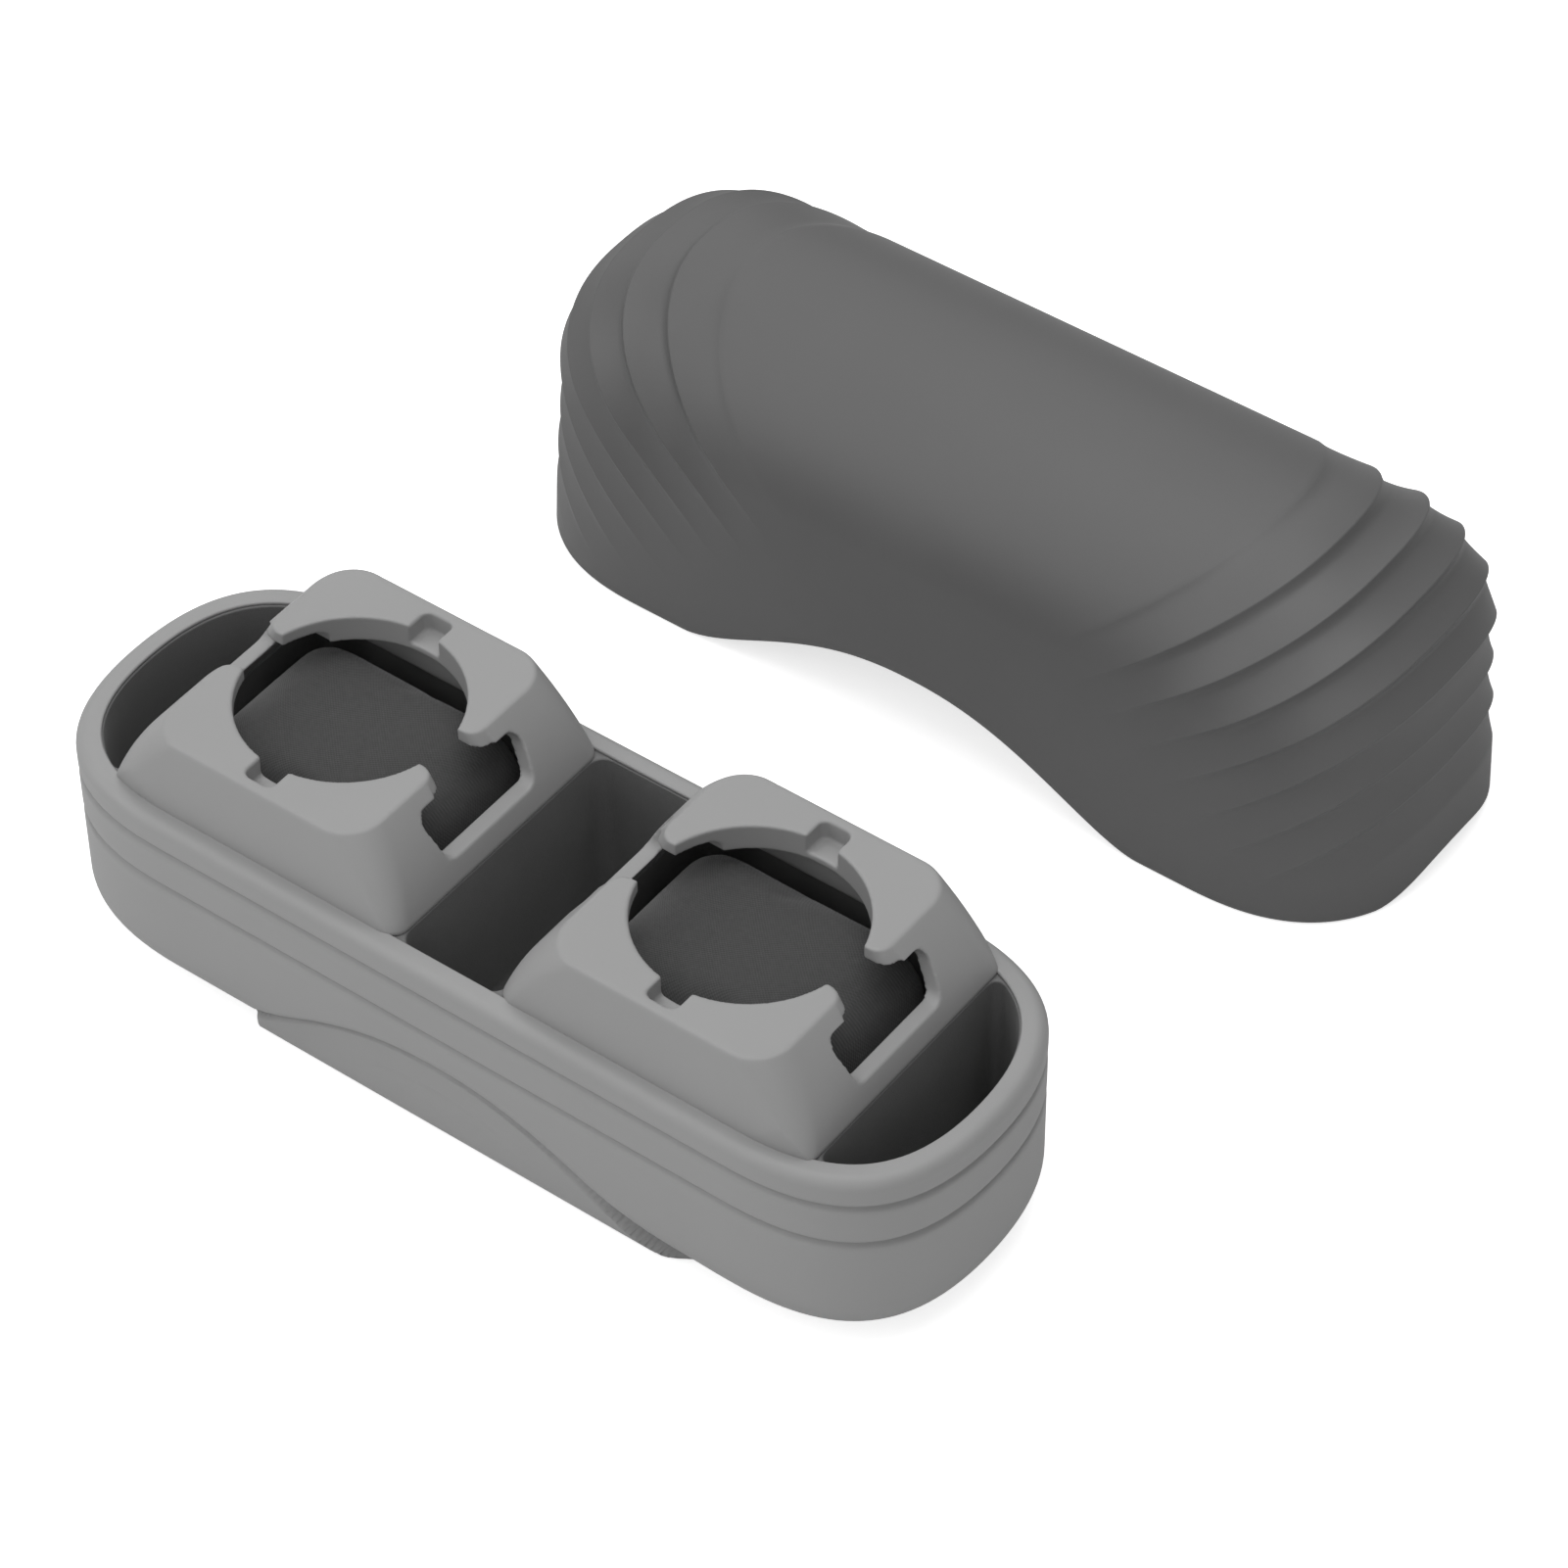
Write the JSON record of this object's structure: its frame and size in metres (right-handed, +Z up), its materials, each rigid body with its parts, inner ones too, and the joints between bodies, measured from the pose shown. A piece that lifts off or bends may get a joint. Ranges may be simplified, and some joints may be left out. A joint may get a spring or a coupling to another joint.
{
  "type": "watch travel case",
  "caption": "Oval hard travel case for watches: grooved base with arched foot panels, raised cradles with round seats between pockets, and a ribbed domed lid that lifts off.",
  "frame": {"origin": "middle of the flat foot under the base", "axes": "+Z up, X along the case, the lid stands behind the base on +Y"},
  "size_m": [0.2148, 0.2143, 0.0728],
  "materials": {
    "shell_grey": "satin soft-touch moulding",
    "lid_grey": "satin soft-touch moulding",
    "lining": "flocked lining",
    "cushion": "soft fabric over foam"
  },
  "bodies": {
    "base": {"base_shell": "shell_grey", "base_lining": "lining", "cradle_left": "shell_grey", "cradle_right": "shell_grey", "cushion_left": "cushion", "cushion_right": "cushion"},
    "lid": {"lid_shell": "lid_grey", "lid_pad": "lining"}
  },
  "joints": [
    {"name": "lid_carry", "type": "slide", "parent": "base", "child": "lid", "axis": [-0.0355, -0.728, 0.6847], "range_m": [0, 0.1942]}
  ]
}
